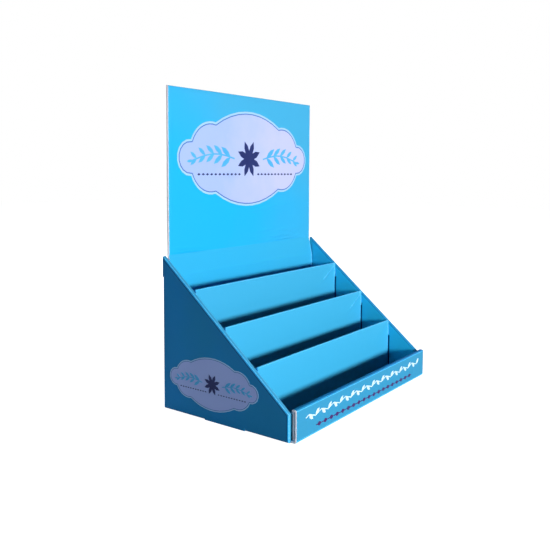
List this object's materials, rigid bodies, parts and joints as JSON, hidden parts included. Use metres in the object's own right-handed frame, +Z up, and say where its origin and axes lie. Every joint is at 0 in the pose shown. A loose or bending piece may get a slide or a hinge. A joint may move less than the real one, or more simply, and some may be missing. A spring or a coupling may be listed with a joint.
{
  "type": "cardboard counter display stand",
  "caption": "Folded corrugated counter display with sloping double side walls, stepped card pockets, a rolled front lip and a tall header card.",
  "frame": {"origin": "on the resting plane, under the centre of the outer box", "axes": "+Z up, front lip facing -Y, width along X"},
  "size_m": [0.407, 0.2456, 0.488],
  "materials": {
    "printed_board": "satin",
    "panel_print": "satin",
    "ink_navy": "satin",
    "ink_sky": "satin",
    "ink_white": "satin",
    "ink_plum": "satin"
  },
  "bodies": {
    "root": {"tray": "printed_board", "header_card": "printed_board", "divider_front": "printed_board", "divider_middle": "printed_board", "divider_rear": "printed_board", "header_panel": "panel_print", "header_rosette": "ink_navy", "header_sprig_a": "ink_sky", "header_sprig_b": "ink_sky", "left_panel": "panel_print", "left_rosette": "ink_navy", "left_sprig_a": "ink_sky", "left_sprig_b": "ink_sky", "right_panel": "panel_print", "right_rosette": "ink_navy", "right_sprig_a": "ink_sky", "right_sprig_b": "ink_sky", "lip_vine": "ink_white", "lip_rule": "ink_plum"}
  },
  "joints": []
}
